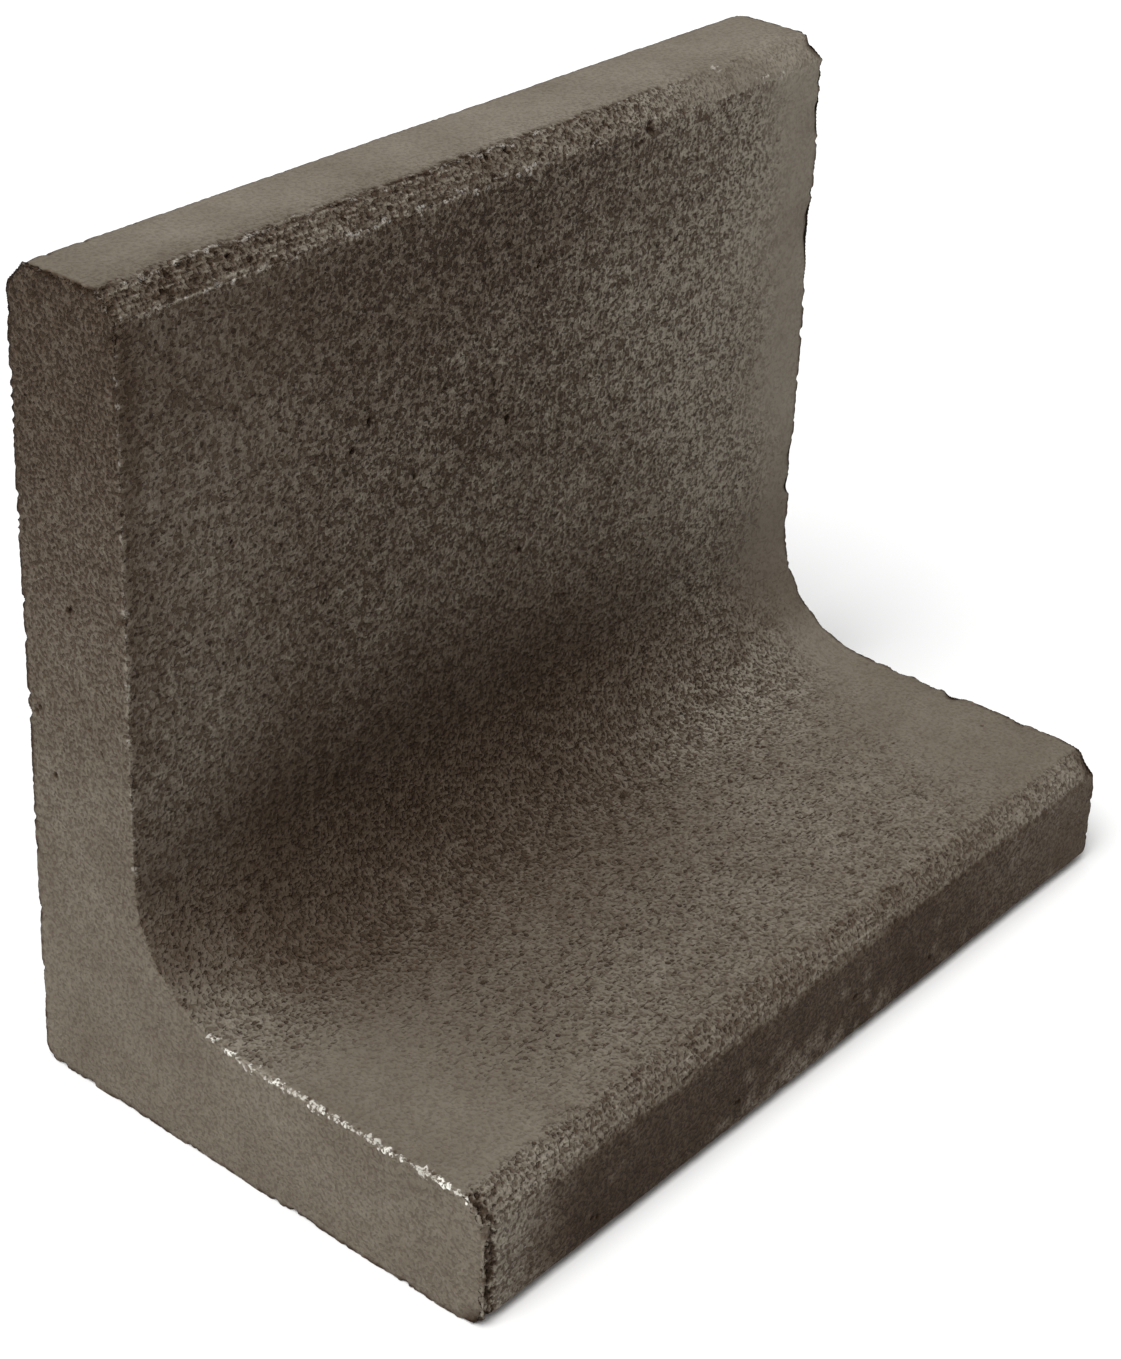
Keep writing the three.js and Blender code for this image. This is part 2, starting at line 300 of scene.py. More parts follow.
def facing_out(verts, tris, first_cap):
    """Turns the triangles so that each side and each cap faces away from the solid."""
    a, b, c = (verts[tris[:, k]] for k in range(3))
    normal = np.cross(b - a, c - a)
    centre = (a + b + c) / 3
    cap = np.arange(len(tris)) >= first_cap
    inward = np.zeros(len(tris), bool)
    inward[cap] = (normal[cap, 0] * centre[cap, 0]) < 0
    turned = tris.copy()
    turned[inward] = turned[inward][:, [0, 2, 1]]
    volume = np.einsum("ij,ij->i", a, np.cross(b, c))[~cap].sum()
    if volume < 0:
        turned[~cap] = turned[~cap][:, [0, 2, 1]]
    return turned


def refine(verts, tris, longest_allowed):
    """Bisects triangles at their longest edges until no edge is longer than allowed at its middle."""
    fine = np.zeros(0, np.int64)  # edges already found short enough, as one number each
    while True:
        pairs = np.sort(np.stack([tris, np.roll(tris, -1, axis=1)], axis=2).reshape(-1, 2), axis=1)
        keys, first, of_tri = np.unique(pairs @ (1 << 32, 1), return_index=True, return_inverse=True)
        of_tri = of_tri.reshape(-1, 3)
        ends = verts[pairs[first]]
        middles = ends.mean(axis=1)
        length = np.linalg.norm(ends[:, 0] - ends[:, 1], axis=1)
        unknown = ~np.isin(keys, fine, assume_unique=True)
        too_long = np.zeros(len(keys), bool)
        too_long[unknown] = length[unknown] > longest_allowed(middles[unknown])
        if not too_long.any():
            return verts, tris
        fine = keys[~too_long]
        rank = np.empty(len(keys), np.int64)
        rank[np.argsort(length, kind="stable")] = np.arange(len(keys))
        longest = rank[of_tri].argmax(axis=1)
        rows = np.arange(len(tris))
        marked = np.zeros(len(keys), bool)
        split = too_long[of_tri].any(axis=1)
        count = -1
        while marked.sum() != count:
            count = marked.sum()
            marked[of_tri[rows, longest][split]] = True
            split = marked[of_tri].any(axis=1)
        middle_of = np.full(len(keys), -1)
        middle_of[marked] = len(verts) + np.arange(marked.sum())
        verts = np.vstack([verts, middles[marked]])
        a, b, c = (tris[rows, (longest + k) % 3][split] for k in range(3))
        ab, bc, ca = (middle_of[of_tri[rows, (longest + k) % 3]][split] for k in range(3))
        parts = [tris[~split]]
        parts += halves(a, ab, c, ca, near_start=True)
        parts += halves(b, ab, c, bc, near_start=False)
        tris = np.vstack(parts)


def halves(corner, middle, apex, cut, near_start):
    """One half of a bisected triangle, cut again where its outer edge is marked."""
    whole = cut < 0

    def rows(mask, *columns):
        columns = columns if near_start else columns[::-1]
        return np.stack([column[mask] for column in columns], axis=1)

    return [
        rows(whole, corner, middle, apex),
        rows(~whole, corner, middle, cut),
        rows(~whole, cut, middle, apex),
    ]


def long_gap(points, corner):
    """How far each point is from the long arris through the corner."""
    return np.linalg.norm(points[:, 1:] - np.array(corner), axis=1)


def end_gap(points):
    """How far each point is from the arrises round the nearer end."""
    return np.hypot(outline_distance(points[:, 1:]), HALF_LENGTH - np.abs(points[:, 0]))


def arris_gap(points):
    """How far each point is from the nearest arris of any kind."""
    return np.minimum.reduce([end_gap(points)] + [long_gap(points, corner) for corner, *_ in ARRIS_WEAR])


def box_gap(points, low, high):
    """How far each point is from the box."""
    return np.linalg.norm(np.maximum(np.maximum(np.array(low) - points, points - np.array(high)), 0), axis=1)


def outline_distance(yz):
    """How far each (y, z) point is from the outline of the section."""
    points = np.array(section())
    nearest = np.full(len(yz), np.inf)
    for start, end in zip(points, np.roll(points, -1, axis=0)):
        run = end - start
        t = np.clip((yz - start) @ run / (run @ run), 0, 1)
        nearest = np.minimum(nearest, np.linalg.norm(yz - start - t[:, None] * run, axis=1))
    return nearest


# ---- Dents, chips and unevenness ----
def noise_at(points, wavelength, seed):
    """Smooth noise from about -1 to 1."""
    offset = Vector((seed * 17.3, seed * 5.1, seed * 9.7))
    return np.array([noise.noise(Vector(p) / wavelength + offset) for p in points])


def smooth_step(low, high, value):
    """0 at low, 1 at high and smooth between, where low may be the larger of the two."""
    t = np.clip((value - low) / (high - low), 0, 1)
    return t * t * (3 - 2 * t)


def vertex_normals(verts, tris):
    """The outward direction at each vertex, weighted by the area of the triangles round it."""
    a, b, c = (verts[tris[:, k]] for k in range(3))
    face = np.cross(b - a, c - a)
    total = np.zeros_like(verts)
    for k in range(3):
        np.add.at(total, tris[:, k], face)
    return total / np.linalg.norm(total, axis=1, keepdims=True)


def long_arris_bites(rng):
    """Where the long arrises are chipped, and the radius of each bite."""
    bites = []
    for (y, z), _, _, per_mm, small, large in ARRIS_WEAR:
        for _ in range(int(2 * HALF_LENGTH * per_mm)):
            x = rng.uniform(-HALF_LENGTH, HALF_LENGTH)
            if rng.random() > CALM_SHARE * smooth_step(*CALM_SPAN, x):
                bites.append(((x, y, z), small + (large - small) * rng.random() ** 3))
    return bites


def end_arris_bites(rng):
    """Where the arrises round the ends are chipped, and the radius of each bite."""
    outline = section()
    stretches = list(BROKEN_STRETCHES)
    for start, end in zip(outline, outline[1:] + outline[:1]):
        for x in (-HALF_LENGTH, HALF_LENGTH):
            stretches.append((x, 0, start, end, END_CHIPS_PER_MM, END_CHIP_RADIUS))
    bites = []
    for x_end, scatter, start, end, per_mm, large in stretches:
        start, run = np.array(start), np.array(end) - start
        for _ in range(rng.poisson(np.linalg.norm(run) * per_mm)):
            x = x_end - math.copysign(scatter * rng.random() ** 1.5, x_end)
            y, z = start + run * rng.random()
            bites.append(((x, y, z), SMALLEST_CHIP + (large - SMALLEST_CHIP) * rng.random() ** 2))
    return bites


def arris_chips(rng):
    """Bites out of the arrises: (centre, radius, depth) with the centre on the arris."""
    bites = long_arris_bites(rng) + end_arris_bites(rng)
    return [(place, radius, CHIP_DEPTH * radius) for place, radius in bites] + LOSSES


def random_radius(rng, smallest, span):
    """A radius from smallest to smallest + span, more often small."""
    return smallest + span * rng.random() ** 2


def face_pits(rng):
    """Air holes: (point on the face, radius, depth)."""
    pits = list(NOTED_PITS)
    for axis, level, (u_low, u_high), (v_low, v_high), count in PITTED_FACES:
        for _ in range(count):
            point = [rng.uniform(u_low, u_high), rng.uniform(v_low, v_high)]
            point.insert(axis, level)
            radius = random_radius(rng, *FACE_PIT_RADII)
            pits.append((tuple(point), radius, radius * rng.uniform(*FACE_PIT_DEPTHS)))
    for x_span, start, end, count in PITTED_STRIPS:
        for _ in range(count):
            y, z = np.array(start) + (np.array(end) - start) * rng.random()
            radius = random_radius(rng, *STRIP_PIT_RADII)
            pits.append(((rng.uniform(*x_span), y, z), radius, radius * rng.uniform(*STRIP_PIT_DEPTHS)))
    return lobed(rng, pits)


def lobed(rng, pits):
    """Each hole as a few smaller ones that overlap, so that none is round."""
    lobes = []
    for place, radius, depth in pits:
        for _ in range(LOBES_PER_PIT):
            centre = np.array(place) + rng.normal(0, LOBE_SCATTER * radius, 3)
            lobes.append((tuple(centre), radius * rng.uniform(*LOBE_RADII), LOBE_DEPTH * depth))
    return lobes


def spacer_marks():
    """Where the spacers' feet stand in the fair face and in the underside."""
    marks = []
    for name in SPACERS:
        low, high = (np.array(corner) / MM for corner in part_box(name))
        centre = (low + high) / 2
        for side_x in (-1, 1):
            for side in (-1, 1):
                x = centre[0] + side_x * FOOT_OFFSET
                if name.startswith("foot"):
                    marks.append((x, centre[1] + side * FOOT_OFFSET, 0.0))
                else:
                    marks.append((x, FAIR_FACE_Y, centre[2] + side * FOOT_OFFSET))
    return marks


def edge_limits(pits, marks):
    """A function from points to the longest mesh edge allowed at each."""
    pit_sizes = [(np.array(place), radius) for place, radius, _ in pits]
    mark_places = [np.array(place) for place in marks]

    def near(middles, place, radius, band, edge):
        beyond = np.maximum(np.linalg.norm(middles - place, axis=1) - radius - band, 0)
        return edge + EDGE_GROWTH * beyond

    def longest_allowed(middles):
        hidden = (middles[:, 1] > FAIR_FACE_Y - 0.5) | (middles[:, 2] < 0.5)
        allowed = np.where(hidden, HIDDEN_EDGE, SHOWN_EDGE)
        for gap, edge in ((arris_gap(middles), ARRIS_EDGE), (end_gap(middles), END_EDGE)):
            allowed = np.minimum(allowed, edge + EDGE_GROWTH * np.maximum(gap - ARRIS_BAND, 0))
        for low, high, edge in FINE_BOXES:
            allowed = np.minimum(allowed, edge + EDGE_GROWTH * box_gap(middles, low, high))
        for place, radius in pit_sizes:
            allowed = np.minimum(allowed, near(middles, place, radius, PIT_BAND, PIT_EDGE))
        for place in mark_places:
            allowed = np.minimum(allowed, near(middles, place, MARK_RADIUS, MARK_BAND, MARK_EDGE))
        return allowed

    return longest_allowed


def carve(flat, sink, chips, pits, marks):
    """Deepens sink at the bites, holes and marks, and tells how broken and how hollow each point is."""
    tree = kdtree.KDTree(len(flat))
    for i, point in enumerate(flat):
        tree.insert(Vector(point), i)
    tree.balance()
    broken = np.zeros(len(flat))
    for place, radius, depth in chips:
        for _, i, distance in tree.find_range(Vector(place), radius):
            bite = 1 - (distance / radius) ** 2
            sink[i] += depth * bite
            broken[i] = max(broken[i], bite)
    hollow = np.zeros(len(flat))
    for place, radius, depth in pits:
        for _, i, distance in tree.find_range(Vector(place), radius * PIT_REACH):
            bowl = 1 - smooth_step(PIT_FLOOR, PIT_REACH, distance / radius)
            sink[i] += depth * bowl
            hollow[i] = max(hollow[i], bowl)
    for place in marks:
        for _, i, _ in tree.find_range(Vector(place), MARK_RADIUS + MARK_MARGIN):
            sink[i] = max(sink[i], MARK_DEPTH)
            hollow[i] = 1
    return broken, hollow


def concrete_mesh():
    """The body's vertices and triangles, with the numbers that its material reads at each vertex."""
    rng = np.random.default_rng(SEED)
    chips, pits, marks = arris_chips(rng), face_pits(rng), spacer_marks()
    flat, tris = refine(*coarse_prism(), edge_limits(pits, marks))
    normals = vertex_normals(flat, tris)
    crumb_and_glint = crumbs_and_glints(flat)
    sink = unevenness(flat) - CRUMB_HEIGHT * crumb_and_glint
    broken, hollow = carve(flat, sink, chips, pits, marks)
    verts = flat - normals * sink[:, None]
    verts[:, 2] = np.maximum(verts[:, 2], 0)
    fields = surface_fields(flat, normals)
    fields |= {"broken": broken, "hollow": hollow, "crumb_and_glint": crumb_and_glint}
    return verts, tris, fields


def unevenness(points):
    """How deep the surface lies under the sharp-edged prism, apart from bites and air holes."""
    x, y, z = points.T
    worn = bell(arris_gap(points), 0, WORN_BAND)
    ragged = sum(share * noise_at(points, *wave) for share, wave in RAGGEDNESS)
    sink = SWELL_DEPTH * noise_at(points, *SWELL) + RIPPLE_DEPTH * noise_at(points, *RIPPLE)
    sink += GRAIN_DEPTH * noise_at(points, *GRAIN) * (1 - worn)
    sink += worn * RAGGED_DEPTH * np.maximum(ragged + RAGGED_OFFSET, 0)
    for corner, reach, depth, *_ in ARRIS_WEAR:
        sink += depth * np.clip(1 - long_gap(points, corner) / reach, 0, 1) ** 2
    at_end = end_gap(points)
    reach, depth = END_ROUNDING
    sink += depth * np.clip(1 - at_end / reach, 0, 1) ** 2
    wave = noise_at(points, *LONG_WAVE) + SHORT_WAVE_SHARE * noise_at(points, *SHORT_WAVE) + WAVE_OFFSET
    near_end = 1 - smooth_step(0, END_WAVE_REACH, at_end)
    sink += END_WAVE_DEPTH * np.maximum(wave, 0) * near_end * blend(x > 0, 1.0, LEFT_WAVE_SHARE)
    rough = on_chamfer(y, z, ROUGH_BEYOND) * blend(smooth_step(*ROUGH_CALM_SPAN, x), ROUGH_CALM_SHARE, 1.0)
    roughness = noise_at(points, *COARSE_ROUGHNESS) + FINE_ROUGHNESS_SHARE * noise_at(points, *FINE_ROUGHNESS)
    sink += ROUGH_DEPTH * rough * roughness
    return sink


def bell(value, middle, reach):
    """1 at the middle, falling smoothly to 0 at reach on either side."""
    return 1 - smooth_step(0, reach, np.abs(value - middle))


def blend(share, inside, outside):
    """Inside where the share is 1, outside where it is 0."""
    return outside + (inside - outside) * share


def on_chamfer(y, z, beyond):
    """1 on the two chamfers that face the soil, fading out over the distance beyond them."""
    coping = bell_beyond(y, SOIL_FACE_Y, SOIL_FACE_Y + ARRIS_CHAMFER, beyond)
    coping = coping * bell_beyond(z, HEIGHT - ARRIS_CHAMFER, HEIGHT, beyond)
    toe = bell_beyond(y, TOE_Y, TOE_Y + ARRIS_CHAMFER, beyond)
    toe = toe * bell_beyond(z, THICKNESS - ARRIS_CHAMFER, THICKNESS, beyond)
    return np.maximum(coping, toe)


def bell_beyond(value, low, high, reach):
    """1 between low and high, falling smoothly to 0 at reach outside them."""
    return 1 - smooth_step(0, reach, np.maximum(low - value, value - high))


def down_profile(y, z):
    """How far along the surface a point lies below the fillet's top: stem, fillet, then foot."""
    turn = np.arctan2(np.maximum(FILLET_TOP_Z - z, 0), np.maximum(y - FILLET_FOOT_Y, 1e-6))
    foot = FILLET_RADIUS * math.pi / 2 + FILLET_FOOT_Y - y
    down = np.where(y < FILLET_FOOT_Y, foot, FILLET_RADIUS * turn)
    return np.where(z > FILLET_TOP_Z, FILLET_TOP_Z - z, down)


# ---- Tones ----
# A tone is how light the concrete is drawn, from 0 for the darkest to about 1 for the lightest. Besides the
# concrete's own patches it holds painted light and shade: each face is set lighter or darker by how light
# falls on it, the coping's top lightest and the toe's face darkest, and a band of painted shade lies round the
# fillet.
# Grain and pitting are how strong the material's grain and holes are. A span is where along x, z or the face a
# change starts and where it is complete. A place is a middle and a reach. A name that ends in DRIFT is how far
# a border wanders.
STEM_TONE, STEM_GAIN_RIGHT, STEM_GAIN_LEFT = 0.302, 0.42, 0.10
STEM_RIGHT_SPAN, STEM_LEFT_PLACE, STEM_DRIFT = (-20, 230), (-190, 90), 20
COPING_BAND_SPAN, COPING_BAND_RIGHT_SPAN, COPING_BAND_FACTORS = (-185, -222), (90, 210), (1.05, 0.74)
EDGE_STRIP_PLACE, EDGE_STRIP_SPAN = (6 - HALF_LENGTH, 9), (-10, -60)  # the dark strip beside the left arris
EDGE_STRIP_HIGH_SPAN, EDGE_STRIP_DEPTHS = (-150, -200), (0.38, 0.24)
FOOT_TONE, FOOT_GAIN_RIGHT, FOOT_GAIN_LEFT = 0.495, 0.06, 0.08
FOOT_RIGHT_SPAN, FOOT_LEFT_SPAN = (-20, 150), (-130, -210)
FILLET_ARC = 94  # length of the fillet along the surface
FILLET_SHADE, FILLET_SHADE_PLACE, FILLET_SHADE_SPANS = 0.22, (38, 30), ((70, 160), (-200, -225))

# A dark band of painted shade round the fillet's corner, where its shade falls; it also calms the grain and
# the holes there.
PAINTED_SHADE_TONE = 0.135
PAINTED_SHADE_LEFT_SPAN, PAINTED_SHADE_SLANT, PAINTED_SHADE_SLANT_LIMIT, PAINTED_SHADE_DRIFT = (-260, -145), 0.45, 60, (10, 14)
PAINTED_SHADE_FADE, PAINTED_SHADE_FADE_SPAN = 0.72, (-20, 230)
PAINTED_SHADE_TOP_SPAN, PAINTED_SHADE_FOOT_START, PAINTED_SHADE_REACH = (-84, 10), 18, (80, 140)
PAINTED_SHADE_WIDE_SPAN, PAINTED_SHADE_NARROW_SPAN = (-240, -135), (-60, 190)

SMOOTH_GRAIN, SMOOTH_PITTING, SMOOTH_DRIFT = 0.17, 0.14, 22
ON_FOOT_SPAN, SMOOTH_LEFT_SPAN = (85, 140), (-115, -210)
SMOOTH_FOOT_SPAN, SMOOTH_STEM_SPAN = (95, 215), (160, 222)

# The toe's upright face is set dark with painted shade, against the floor's bounce light.
TOE_TONE, TOE_GAIN_LEFT, TOE_GAIN_RIGHT = 0.122, 0.52, 0.12
TOE_PATCH_TONE, TOE_GRAIN, TOE_PITTING = 0.34, 0.85, 0.35
TOE_LEFT_SPAN, TOE_RIGHT_SPAN, TOE_CALM_SPAN = (-172, -240), (90, 190), (170, 215)

# The coping's top is the lightest tone: painted light, where the light falls most.
COPING_TOP_TONE, COPING_LEFT_LOSS, COPING_FRONT_LOSS = 0.71, 0.07, 0.16
COPING_CHAMFER_TONES, COPING_CHAMFER_GRAINS = (0.68, 0.31), (0.30, 0.95)  # at the right end, at the left end
TOE_CHAMFER_TONE, TOE_CHAMFER_GAIN, TOE_CHAMFER_GRAINS = 0.38, 0.13, (0.60, 0.70)
LEFT_END_TONES, RIGHT_END_TONES = (0.178, 0.525), (0.24, 0.46)  # at the top, at the foot
END_TOP_GRAIN, LEFT_FOOT_GRAIN, RIGHT_FOOT_GRAIN = 0.95, 0.30, 0.40
FAIR_FACE_TONE, FAIR_FACE_GRAIN = 0.52, 0.30
UNDERSIDE_TONE, UNDERSIDE_GRAIN = 0.45, 0.40
HIDDEN_PITTING = 0.3  # on the fair face and the underside

RIM_SPAN, RIM_PATCH_SPAN = (3.4, 0.9), (-0.60, 0.25)
RIM_DEPTH, HIDDEN_RIM_DEPTH = 0.80, 0.35  # how much darker the ends' arrises are
# A painted highlight along the left end's inner arris: how much lighter it is and how far it reaches.
PAINTED_HIGHLIGHT_GAIN, PAINTED_HIGHLIGHT_REACH = 0.9, 2.4
BACK_ARRIS_DEPTH, BACK_ARRIS_REACH = 0.40, 2.5
COPING_ARRIS_DEPTH, COPING_ARRIS_SPAN, COPING_ARRIS_PLACE = 0.80, (3.4, 0.8), (-60, 200)


def stem_tone(x, down, drift):
    """The stem's soil face, lighter to the right, darker under the coping and beside the left arris."""
    tone = STEM_TONE + STEM_GAIN_RIGHT * smooth_step(*STEM_RIGHT_SPAN, x + STEM_DRIFT * drift)
    tone = tone + STEM_GAIN_LEFT * bell(x, *STEM_LEFT_PLACE)
    under_coping = smooth_step(*COPING_BAND_SPAN, down + 10 * drift)
    factor = blend(smooth_step(*COPING_BAND_RIGHT_SPAN, x), *COPING_BAND_FACTORS)
    tone = tone * blend(under_coping, factor, 1.0)
    strip = blend(smooth_step(*EDGE_STRIP_HIGH_SPAN, down), *EDGE_STRIP_DEPTHS)
    return tone * (1 - strip * bell(x, *EDGE_STRIP_PLACE) * smooth_step(*EDGE_STRIP_SPAN, down))


def painted_shade_share(x, down, drift):
    """How deep the painted shade is: a dark band painted round the fillet's corner, slanted on the left and
    thinner to the right.
    """
    slant, wander = PAINTED_SHADE_DRIFT
    slanted = x + PAINTED_SHADE_SLANT * np.clip(down, -PAINTED_SHADE_SLANT_LIMIT, PAINTED_SHADE_SLANT_LIMIT) + slant * drift
    painted_shade = smooth_step(*PAINTED_SHADE_LEFT_SPAN, slanted)
    painted_shade = painted_shade * (1 - PAINTED_SHADE_FADE * smooth_step(*PAINTED_SHADE_FADE_SPAN, x))
    least, more = PAINTED_SHADE_REACH
    reach = least + more * smooth_step(*PAINTED_SHADE_WIDE_SPAN, x) * (1 - smooth_step(*PAINTED_SHADE_NARROW_SPAN, x))
    below = down + wander * drift
    return painted_shade * smooth_step(*PAINTED_SHADE_TOP_SPAN, below) * (1 - smooth_step(PAINTED_SHADE_FOOT_START, reach, below))


def smooth_share(x, on_foot, drift):
    """How far the surface has been trowelled or rubbed smooth: the right edge, and the foot's left corner."""
    along = x + SMOOTH_DRIFT * drift
    smooth = blend(on_foot, smooth_step(*SMOOTH_FOOT_SPAN, along), smooth_step(*SMOOTH_STEM_SPAN, along))
    return np.maximum(smooth, smooth_step(*SMOOTH_LEFT_SPAN, x) * on_foot)


def soil_grain(x, down, painted_shade):
    """The grain of the soil side: finer on the foot, stronger in the middle of the stem."""
    grain = blend(smooth_step(60, 130, down), 0.48, 1.0 - 0.1 * painted_shade)
    left_fillet = bell(x, -HALF_LENGTH, 70) * bell(down, 45, 80)
    grain = grain * (1 - 0.22 * smooth_step(-90, -170, x) - 0.3 * left_fillet)
    return grain * (1 + 0.30 * bell(x, -10, 190) * smooth_step(-60, -160, down))


def soil_side(x, y, z, drift):
    """The stem's soil face, the fillet and the foot's top: tone, grain and pitting."""
    down = down_profile(y, z)
    foot = FOOT_TONE + FOOT_GAIN_RIGHT * smooth_step(*FOOT_RIGHT_SPAN, x)
    foot = foot + FOOT_GAIN_LEFT * smooth_step(*FOOT_LEFT_SPAN, x)
    tone = blend(smooth_step(0, FILLET_ARC, down), foot, stem_tone(x, down, drift))
    painted_shade = painted_shade_share(x, down, drift)
    # Painted shade round the fillet's corner.
    tone = blend(painted_shade, PAINTED_SHADE_TONE, tone)
    ends = np.maximum(*(smooth_step(*span, x) for span in FILLET_SHADE_SPANS))
    tone = tone * (1 - FILLET_SHADE * bell(down, *FILLET_SHADE_PLACE) * ends)
    smooth = smooth_share(x, smooth_step(*ON_FOOT_SPAN, down), drift)
    pitted = blend(smooth_step(150, 250, down), 0.55, 1.0 - 0.3 * painted_shade)
    return tone, blend(smooth, SMOOTH_GRAIN, soil_grain(x, down, painted_shade)), blend(smooth, SMOOTH_PITTING, pitted)


def toe_face(x, z, drift, mottle):
    """The upright face of the toe: dark with painted shade, paler at its ends, with pale patches."""
    tone = TOE_TONE + TOE_GAIN_LEFT * smooth_step(*TOE_LEFT_SPAN, x)
    tone = tone + TOE_GAIN_RIGHT * smooth_step(*TOE_RIGHT_SPAN, x)
    tone = tone * blend(smooth_step(15, 50, z), 1.15, 0.86)
    mottled = np.maximum(bell(x, -27, 80) * bell(z, 12, 30), 0.35 * bell(x, 60, 200) * bell(z, 20, 40))
    patches = smooth_step(0.50, 1.05, mottled + 1.1 * mottle)
    return blend(patches, TOE_PATCH_TONE, tone), TOE_GRAIN - 0.3 * smooth_step(*TOE_CALM_SPAN, x), TOE_PITTING


def coping_top(x, y, drift):
    """The flat top of the stem, rubbed smooth, lightest with painted light, and darker along its front."""
    front = smooth_step(SOIL_FACE_Y + 34, SOIL_FACE_Y + 12, y)
    tone = COPING_TOP_TONE - COPING_LEFT_LOSS * smooth_step(-160, -240, x)
    tone = tone - COPING_FRONT_LOSS * front * smooth_step(60, -160, x)
    return tone + 0.04 * drift, 0.15 + 0.1 * front, 0.1


def chamfer_tone(x, z, drift):
    """The chamfers that face the soil: tone, grain and pitting."""
    coping = blend(smooth_step(-60, 200, x + 15 * drift), *COPING_CHAMFER_TONES)
    ends = np.maximum(smooth_step(-150, -205, x), smooth_step(110, 180, x))
    high = z > HEIGHT / 2
    smooth = smooth_step(90, 190, x + 25 * drift)
    grain = np.where(high, blend(smooth, *COPING_CHAMFER_GRAINS), blend(smooth, *TOE_CHAMFER_GRAINS))
    pitted = blend(smooth, np.where(high, 0.15, 0.55), 0.8)
    toe = (TOE_CHAMFER_TONE + TOE_CHAMFER_GAIN * ends) * (1 - 0.5 * bell(x, HALF_LENGTH, 17))
    return np.where(high, coping, toe), grain, pitted


def end_tone(x, z, drift):
    """The two ends: rough and dark towards the top, smooth and light below."""
    height = smooth_step(30, 390, z + 18 * drift)
    left = x < 0
    tone = np.where(left, blend(height, *LEFT_END_TONES), blend(height, *RIGHT_END_TONES))
    grain = blend(height, END_TOP_GRAIN, np.where(left, LEFT_FOOT_GRAIN, RIGHT_FOOT_GRAIN))
    return tone, grain, 0.12 + 0.4 * height


def plain_faces(points, normals, drift):
    """For each face but the soil side, each point's share in it, and its tone, grain and pitting."""
    x, y, z = points.T
    across, along, up = (normals**2).T
    at_toe = smooth_step(TOE_Y + ARRIS_CHAMFER + 2, TOE_Y + ARRIS_CHAMFER - 4, y)
    on_coping = z > HEIGHT - ARRIS_CHAMFER / 2
    mottle = noise_at(points, *TOE_MOTTLE)
    fair_face = (FAIR_FACE_TONE + 0.08 * drift, FAIR_FACE_GRAIN + 0.20 * drift, HIDDEN_PITTING)
    underside = (UNDERSIDE_TONE + 0.08 * drift, UNDERSIDE_GRAIN, HIDDEN_PITTING)
    return (
        (across, end_tone(x, z, drift)),
        (up * (normals[:, 2] >= 0) * on_coping, coping_top(x, y, drift)),
        (along * (normals[:, 1] <= 0) * at_toe, toe_face(x, z, drift, mottle)),
        (along * (normals[:, 1] > 0), fair_face),
        (up * (normals[:, 2] < 0), underside),
    )


def chamfer_share(points, normals):
    """How far each point belongs to the two chamfers that face the soil, with a border that wanders."""
    x, y, z = points.T
    across, under = normals[:, 0] ** 2, normals[:, 2] ** 2 * (normals[:, 2] < 0)
    crisp = smooth_step(-20, 110, x)
    wander = blend(crisp, 1.4, 3.0) * noise_at(points, *CHAMFER_BORDER)
    return on_chamfer(y + wander, z + wander, blend(crisp, 2.2, 5.0)) * (1 - across) * (1 - under)


def shade_arrises(tone, points, drift):
    """Darkens the arrises round the ends and along the coping, and lightens the left end's inner one with a
    painted highlight.
    """
    x, y, z = points.T
    at_end = end_gap(points)
    above_foot = (y < SOIL_FACE_Y + ARRIS_CHAMFER) & (z > THICKNESS - ARRIS_CHAMFER)
    inner_left = (x < 0) & (above_foot | (y < TOE_Y + 2) & (z > BASE_CHAMFER))
    patchy = noise_at(points, *PATCHES)
    rim = smooth_step(*RIM_SPAN, at_end) * smooth_step(*RIM_PATCH_SPAN, patchy + 0.4 * drift)
    hidden = (x > 0) & ((y > FAIR_FACE_Y - ARRIS_CHAMFER) | (z < BASE_CHAMFER))
    tone = tone * (1 - np.where(hidden, HIDDEN_RIM_DEPTH, RIM_DEPTH) * rim * ~inner_left)
    # A painted highlight where light catches the left end's inner arris.
    painted_highlight = np.maximum(0.8 * bell(z, 245, 115), (z < FILLET_TOP_Z) * smooth_step(30, 0, y))
    tone = tone * (1 + PAINTED_HIGHLIGHT_GAIN * bell(at_end, 0, PAINTED_HIGHLIGHT_REACH) * inner_left * painted_highlight)
    back_arris = bell(long_gap(points, BACK_HIGH), 0, BACK_ARRIS_REACH)
    tone = tone * (1 - BACK_ARRIS_DEPTH * back_arris)
    coping_arris = smooth_step(*COPING_ARRIS_SPAN, long_gap(points, COPING_HIGH))
    broken_up = smooth_step(0.0, 0.3, patchy)
    return tone * (1 - COPING_ARRIS_DEPTH * coping_arris * broken_up * bell(x, *COPING_ARRIS_PLACE))


def surface_fields(points, normals):
    """How light the concrete is drawn at each point, painted light and shade included, how rough and pitted it
    is, and how streaked its chamfers are.
    """
    x, y, z = points.T
    drift = noise_at(points, *DRIFT)
    faces = plain_faces(points, normals, drift)
    chamfer = chamfer_share(points, normals)
    worn = chamfer_tone(x, z, drift)
    shared = sum(share for share, _ in faces)
    fields = []
    for k, field in enumerate(soil_side(x, y, z, drift)):
        field = field * (1 - shared) + sum(share * values[k] for share, values in faces)
        fields.append(blend(chamfer, worn[k], field))
    tone, grain, pitted = fields
    tone = shade_arrises(tone, points, drift)
    streaky = chamfer * np.where(z > HEIGHT / 2, smooth_step(20, -60, x), 0.45 * smooth_step(120, 40, x))
    fields = {"tone": tone, "grain": grain, "pitted": pitted, "streaky": streaky}
    return {name: np.clip(values, 0, 1.3) for name, values in fields.items()}


